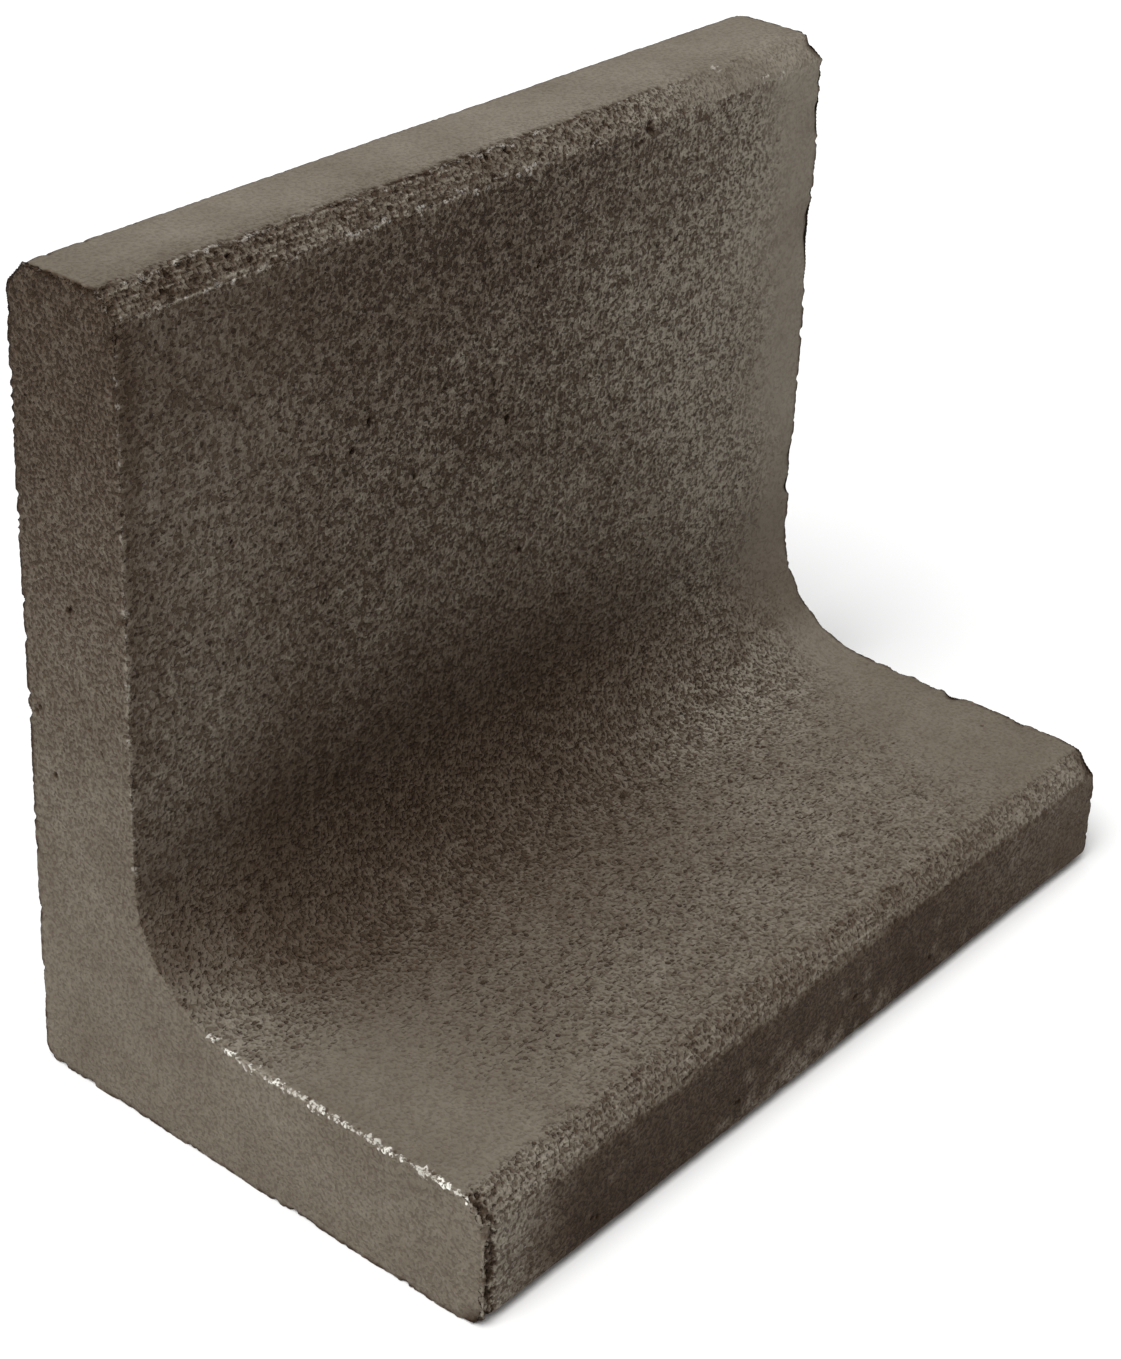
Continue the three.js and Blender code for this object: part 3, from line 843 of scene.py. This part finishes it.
# How strong the pale crumbs are on the coping, along the foot, and elsewhere; along the left end's inner arris
# their pale colour is partly a painted highlight.
COPING_CRUMBS_AND_GLINTS, FOOT_CRUMBS_AND_GLINTS, OTHER_CRUMBS_AND_GLINTS = 0.34, 1.0, 0.26


def crumb_and_glint_shares(points):
    """How likely pale crumbs, partly a painted highlight, are at each point, and how near it is to the
    coping's and the left end's arrises.
    """
    x, y, z = points.T
    at_end = end_gap(points)
    inner = (x < 0) & (z > THICKNESS - 6) & (y < SOIL_FACE_Y + ARRIS_CHAMFER + 3)
    at_arris = bell(at_end, 0, 4.2) * inner
    along_foot = smooth_step(34, 12, y) * blend(smooth_step(-35, -75, y), 1.0, 0.80)
    along_foot = along_foot * smooth_step(TOE_Y + 6, TOE_Y + 13, y)
    up_stem = bell(at_end, 0, 2.4) * inner * (z > FILLET_TOP_Z)
    share = np.maximum(at_arris * along_foot * (z < FILLET_TOP_Z + 5), 0.45 * up_stem)
    along_top = bell(at_end, 0, 2.6) * (x < 0) * (z > HEIGHT - 1)
    share = np.maximum(share, 0.42 * along_top)
    coping = np.maximum(
        bell(long_gap(points, COPING_LOW), 0, 3.5),
        bell(long_gap(points, COPING_HIGH), 0, 3.0),
    )
    share = np.maximum(share, coping * blend(smooth_step(-60, 120, x), 0.10, 0.52))
    return share, coping, at_arris


def crumbs_and_glints(points):
    """Where fresh pale crumbs lie, in clumps, their colour partly a painted highlight: round the left end's
    inner arris and along the coping.
    """
    share, coping, at_arris = crumb_and_glint_shares(points)
    near = share > 0
    lumps = noise_at(points[near] * (0.6, 1, 1), *CRUMB_AND_GLINT_LUMPS) + 0.5 * noise_at(points[near], *CRUMB_AND_GLINT_CLUMPS)
    found = np.zeros(len(points))
    found[near] = smooth_step(0.50, 0.72, share[near] + lumps)
    elsewhere = np.where(points[:, 2] < FILLET_TOP_Z, FOOT_CRUMBS_AND_GLINTS, OTHER_CRUMBS_AND_GLINTS)
    strength = np.where(coping > at_arris, COPING_CRUMBS_AND_GLINTS, elsewhere)
    return found * strength * blend(smooth_step(-0.25, 0.30, noise_at(points, *CRUMB_AND_GLINT_FADING)), 1.0, 0.5)


def concrete_object(material):
    """The concrete body as an object of the scene, with its fields as attributes."""
    verts, tris, fields = concrete_mesh()
    mesh = bpy.data.meshes.new("concrete_unit")
    mesh.from_pydata((verts * MM).tolist(), [], tris.tolist())
    mesh.shade_smooth()
    for name, values in fields.items():
        attribute = mesh.attributes.new(name, "FLOAT", "POINT")
        attribute.data.foreach_set("value", values.astype(np.float32))
    mesh.materials.append(material)
    body = bpy.data.objects.new("concrete_unit", mesh)
    bpy.context.scene.collection.objects.link(body)
    return body


# ---- Materials ----
class Graph:
    """A material's nodes, each made by one call that also wires its inputs."""

    def __init__(self, name):
        self.material = bpy.data.materials.new(name)
        self.material.use_nodes = True
        self.tree = self.material.node_tree
        self.shader = self.tree.nodes["Principled BSDF"]

    def node(self, kind, **settings):
        """A new node with the given settings."""
        node = self.tree.nodes.new(kind)
        for name, value in settings.items():
            setattr(node, name, value)
        return node

    def feed(self, socket, value):
        """Links an output to the socket, or sets a constant on it."""
        if isinstance(value, bpy.types.NodeSocket):
            self.tree.links.new(value, socket)
        else:
            socket.default_value = value

    def math(self, operation, a, b=0.0, c=0.0):
        """One arithmetic step."""
        node = self.node("ShaderNodeMath", operation=operation)
        for socket, value in zip(node.inputs, (a, b, c)):
            self.feed(socket, value)
        return node.outputs[0]

    def place(self, scale=(1, 1, 1), turn=(0, 0, 0)):
        """The point on the object in millimetres, turned and stretched."""
        coordinates = self.node("ShaderNodeTexCoord").outputs["Object"]
        node = self.node("ShaderNodeMapping")
        self.feed(node.inputs["Vector"], coordinates)
        node.inputs["Scale"].default_value = [k / MM for k in scale]
        node.inputs["Rotation"].default_value = turn
        return node.outputs[0]

    def noise(self, place, wavelength, detail=2.0, roughness=0.5):
        """Smooth noise from 0 to 1."""
        node = self.node("ShaderNodeTexNoise")
        self.feed(node.inputs["Vector"], place)
        node.inputs["Scale"].default_value = 1 / wavelength
        node.inputs["Detail"].default_value = detail
        node.inputs["Roughness"].default_value = roughness
        return node.outputs[0]

    def cells(self, place, wavelength):
        """How far each point is from the nearest of many scattered ones."""
        node = self.node("ShaderNodeTexVoronoi")
        self.feed(node.inputs["Vector"], place)
        node.inputs["Scale"].default_value = 1 / wavelength
        return node.outputs["Distance"]

    def ramp(self, value, low, high, out_low=0.0, out_high=1.0):
        """A smooth change between two outputs as the value goes from low to high."""
        node = self.node("ShaderNodeMapRange", interpolation_type="SMOOTHSTEP")
        for socket, setting in zip(node.inputs, (value, low, high, out_low, out_high)):
            self.feed(socket, setting)
        return node.outputs[0]

    def mix(self, share, a, b):
        """Colour a, changing to b with the share."""
        node = self.node("ShaderNodeMix", data_type="RGBA")
        factor, first, second, result = 0, 6, 7, 2  # where the node keeps its sockets for colours
        self.feed(node.inputs[factor], share)
        self.feed(node.inputs[first], a)
        self.feed(node.inputs[second], b)
        return node.outputs[result]

    def colours(self, value, stops):
        """The colour for a value, from stops of position and colour."""
        node = self.node("ShaderNodeValToRGB")
        self.feed(node.inputs[0], value)
        elements = node.color_ramp.elements
        while len(elements) < len(stops):
            elements.new(0.5)
        for element, (position, colour) in zip(elements, stops):
            element.position = position
            element.color = colour
        return node.outputs[0]

    def attribute(self, name):
        """A number kept at each vertex of the mesh."""
        return self.node("ShaderNodeAttribute", attribute_name=name).outputs["Fac"]

    def bump(self, height, distance):
        """Relief of the given height in metres, for what is finer than the mesh."""
        node = self.node("ShaderNodeBump")
        node.inputs["Strength"].default_value = 1.0
        node.inputs["Distance"].default_value = distance
        self.feed(node.inputs["Height"], height)
        self.feed(self.shader.inputs["Normal"], node.outputs[0])


# The dyed concrete from its darkest to its lightest, by how light it is drawn, painted light and shade
# included.
CONCRETE_COLOURS = [
    (0.0, (0.0160, 0.0070, 0.0022, 1)),
    (0.2, (0.0708, 0.0500, 0.0343, 1)),
    (1.0, (0.2480, 0.2200, 0.1770, 1)),
]
# Pale crumbs, whose colour along the left end's inner arris is partly a painted highlight.
CRUMB_AND_GLINT_COLOUR = (0.84, 0.81, 0.74, 1)
CONCRETE_RELIEF = 0.9

# How far each part of the texture moves the tone, in doublings.
GRAIN_STOPS, SAND_STOPS, PATCH_STOPS, CLOUD_STOPS = 1.5, 2.6, 2.2, 0.9
# Small holes, hollows and chipped bites are darkened with painted shade in their recesses.
HOLE_SHADE_STOPS, STREAK_STOPS, HOLLOW_SHADE_STOPS, BROKEN_SHADE_STOPS = -1.4, 4.5, -2.3, -1.5
GRAIN_MIDDLE, NOISE_MIDDLE = 0.7, 0.5


def concrete_textures(g, place):
    """The concrete's grain, sand, patches and clouds, its streaks and its small holes."""
    grain = g.ramp(g.noise(place, 2.05, 1.0), 0.36, 0.54)
    sand = g.noise(place, 1.25, 1.0)
    patches = g.noise(place, 7, 2.0)
    clouds = g.noise(place, 45, 3.0)
    drag = g.noise(g.place((0.4, 1, 1), (0, math.radians(18), 0)), 1.6, 1.0)
    lines = g.noise(g.place((0.08, 1, 1)), 1.6, 1.0)
    spacing = g.math("MULTIPLY_ADD", g.math("SUBTRACT", patches, NOISE_MIDDLE), 0.6, g.cells(place, 5.0))
    holes = g.math("MAXIMUM", g.ramp(spacing, 0.08, 0.20, 1.0, 0.0), g.ramp(drag, 0.63, 0.71))
    return grain, sand, patches, clouds, lines, holes


def concrete_material():
    """Dyed concrete: one colour from dark to light, moved by the textures and by the mesh's attributes,
    painted light and shade among them.
    """
    g = Graph("dyed_concrete")
    place = g.place()
    grain, sand, patches, clouds, lines, holes = concrete_textures(g, place)
    rough, pitted = g.attribute("grain"), g.attribute("pitted")
    stops = g.math("MULTIPLY", g.math("SUBTRACT", grain, GRAIN_MIDDLE), GRAIN_STOPS)
    stops = g.math("MULTIPLY_ADD", g.math("SUBTRACT", sand, NOISE_MIDDLE), SAND_STOPS, stops)
    stops = g.math("MULTIPLY_ADD", g.math("SUBTRACT", patches, NOISE_MIDDLE), PATCH_STOPS, stops)
    stops = g.math("MULTIPLY", stops, rough)
    stops = g.math("MULTIPLY_ADD", g.math("MULTIPLY", holes, pitted), HOLE_SHADE_STOPS, stops)
    streaks = g.math("MULTIPLY", g.math("SUBTRACT", lines, NOISE_MIDDLE), g.attribute("streaky"))
    stops = g.math("MULTIPLY_ADD", streaks, STREAK_STOPS, stops)
    stops = g.math("MULTIPLY_ADD", g.math("SUBTRACT", clouds, NOISE_MIDDLE), CLOUD_STOPS, stops)
    # Painted shade in the air holes, the spacer marks and the chipped bites.
    stops = g.math("MULTIPLY_ADD", g.attribute("hollow"), HOLLOW_SHADE_STOPS, stops)
    stops = g.math("MULTIPLY_ADD", g.attribute("broken"), BROKEN_SHADE_STOPS, stops)
    value = g.math("MULTIPLY", g.attribute("tone"), g.math("POWER", 2.0, stops))
    colour = g.colours(value, CONCRETE_COLOURS)
    crumb_and_glint = g.math("MULTIPLY", g.attribute("crumb_and_glint"), g.ramp(g.noise(place, 1.3, 1.0), 0.38, 0.58))
    g.feed(g.shader.inputs["Base Color"], g.mix(crumb_and_glint, colour, CRUMB_AND_GLINT_COLOUR))
    g.feed(g.shader.inputs["Roughness"], g.ramp(grain, 0.0, 1.0, 0.80, 0.95))
    g.shader.inputs["Specular IOR Level"].default_value = 0.10
    relief = g.math("MULTIPLY", g.math("MULTIPLY_ADD", patches, 1.5, g.math("ADD", grain, sand)), rough)
    relief = g.math("SUBTRACT", relief, g.math("MULTIPLY", holes, pitted))
    g.bump(relief, CONCRETE_RELIEF * MM)
    return g.material


def steel_material():
    """Wire with blue-black mill scale and light rust."""
    g = Graph("ribbed_wire_steel")
    place = g.place()
    rust = g.ramp(g.noise(place, 9, 4.0, 0.6), 0.45, 0.62)
    scale_blue = (0.060, 0.058, 0.060, 1)
    rust_brown = (0.190, 0.075, 0.030, 1)
    g.feed(g.shader.inputs["Base Color"], g.mix(rust, scale_blue, rust_brown))
    g.feed(g.shader.inputs["Roughness"], g.ramp(rust, 0.0, 1.0, 0.45, 0.85))
    g.feed(g.shader.inputs["Metallic"], g.ramp(rust, 0.0, 1.0, 0.85, 0.10))
    g.bump(g.noise(place, 0.6, 3.0), 0.15 * MM)
    return g.material


def spacer_material():
    """Grey moulded plastic with cement dust on it."""
    g = Graph("moulded_spacer_plastic")
    place = g.place()
    cement = g.ramp(g.noise(place, 3, 3.0), 0.48, 0.64)
    plastic = (0.230, 0.235, 0.230, 1)
    dust = (0.200, 0.180, 0.150, 1)
    g.feed(g.shader.inputs["Base Color"], g.mix(cement, plastic, dust))
    g.feed(g.shader.inputs["Roughness"], g.ramp(cement, 0.0, 1.0, 0.45, 0.85))
    g.bump(g.noise(place, 0.8, 2.0), 0.08 * MM)
    return g.material


def floor_material():
    """A plain pale floor."""
    g = Graph("pale_floor")
    clouds = g.noise(g.place(), 400, 3.0)
    g.feed(g.shader.inputs["Base Color"], g.mix(clouds, (0.93, 0.93, 0.93, 1), (0.96, 0.96, 0.955, 1)))
    g.shader.inputs["Roughness"].default_value = 0.9
    g.shader.inputs["Specular IOR Level"].default_value = 0.1
    return g.material


# ---- Studio ----
FLOOR_REACH_M = 12.0
WORLD_STRENGTH = 0.36
KEY_TOWARD, KEY_STRENGTH, KEY_SPREAD_DEGREES = (-0.50, -0.12, 0.86), 3.1, 38

def add_floor():
    """A square floor under the unit."""
    corners = [(x * FLOOR_REACH_M, y * FLOOR_REACH_M, 0) for x, y in ((-1, -1), (1, -1), (1, 1), (-1, 1))]
    mesh = bpy.data.meshes.new("floor")
    mesh.from_pydata(corners, [], [(0, 1, 2, 3)])
    mesh.materials.append(floor_material())
    floor = bpy.data.objects.new("floor", mesh)
    bpy.context.scene.collection.objects.link(floor)


def add_key(toward, strength, spread_degrees):
    """A broad, even light from the direction toward points at."""
    light = bpy.data.lights.new("key", "SUN")
    light.energy = strength
    light.angle = math.radians(spread_degrees)
    lamp = bpy.data.objects.new("key", light)
    lamp.rotation_euler = Vector(toward).to_track_quat("Z", "Y").to_euler()
    bpy.context.scene.collection.objects.link(lamp)


def add_world(strength):
    """Even white light from all round."""
    world = bpy.data.worlds.new("studio")
    world.use_nodes = True
    background = world.node_tree.nodes["Background"]
    background.inputs["Color"].default_value = (1.0, 1.0, 1.0, 1)
    background.inputs["Strength"].default_value = strength
    bpy.context.scene.world = world


CAMERA_YAW = 0.886  # radians, from +Y towards +X
CAMERA_PITCH = 0.475  # radians, down
CAMERA_ROLL = 0.040  # radians
CAMERA_DISTANCE = 1334
CAMERA_SIDE = -25.2  # from the unit's middle, across the view
CAMERA_RISE = 36.2  # and up it
CAMERA_SENSOR = 36
CAMERA_LENS = 76.38
CAMERA_SHIFT_Y = -0.1177
CAMERA_CLIP_END_M = 50


def add_camera():
    """The camera, looking at the left end and the soil side from above."""
    forward = Vector((math.sin(CAMERA_YAW), math.cos(CAMERA_YAW), 0)) * math.cos(CAMERA_PITCH)
    forward.z = -math.sin(CAMERA_PITCH)
    level = Vector((math.cos(CAMERA_YAW), -math.sin(CAMERA_YAW), 0))
    upright = level.cross(forward)
    right = level * math.cos(CAMERA_ROLL) + upright * math.sin(CAMERA_ROLL)
    up = upright * math.cos(CAMERA_ROLL) - level * math.sin(CAMERA_ROLL)
    centre = Vector((0, 0, HEIGHT / 2))
    place = centre - forward * CAMERA_DISTANCE + right * CAMERA_SIDE + up * CAMERA_RISE
    data = bpy.data.cameras.new("camera")
    data.sensor_width = CAMERA_SENSOR
    data.lens = CAMERA_LENS
    data.shift_y = CAMERA_SHIFT_Y
    data.clip_end = CAMERA_CLIP_END_M
    camera = bpy.data.objects.new("camera", data)
    turn = Matrix((right, up, -forward)).transposed().to_4x4()
    camera.matrix_world = Matrix.Translation(place * MM) @ turn
    bpy.context.scene.collection.objects.link(camera)
    bpy.context.scene.camera = camera


# ---- The scene ----
unit = concrete_object(concrete_material())
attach(unit, "root")
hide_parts("concrete_body")

steel, plastic = steel_material(), spacer_material()
for name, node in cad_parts.items():
    if name != "concrete_body":
        node.data.materials.clear()
        node.data.materials.append(plastic if name in SPACERS else steel)

add_floor()
add_world(WORLD_STRENGTH)
add_key(KEY_TOWARD, KEY_STRENGTH, KEY_SPREAD_DEGREES)
add_camera()
bpy.context.scene.view_settings.view_transform = "Standard"
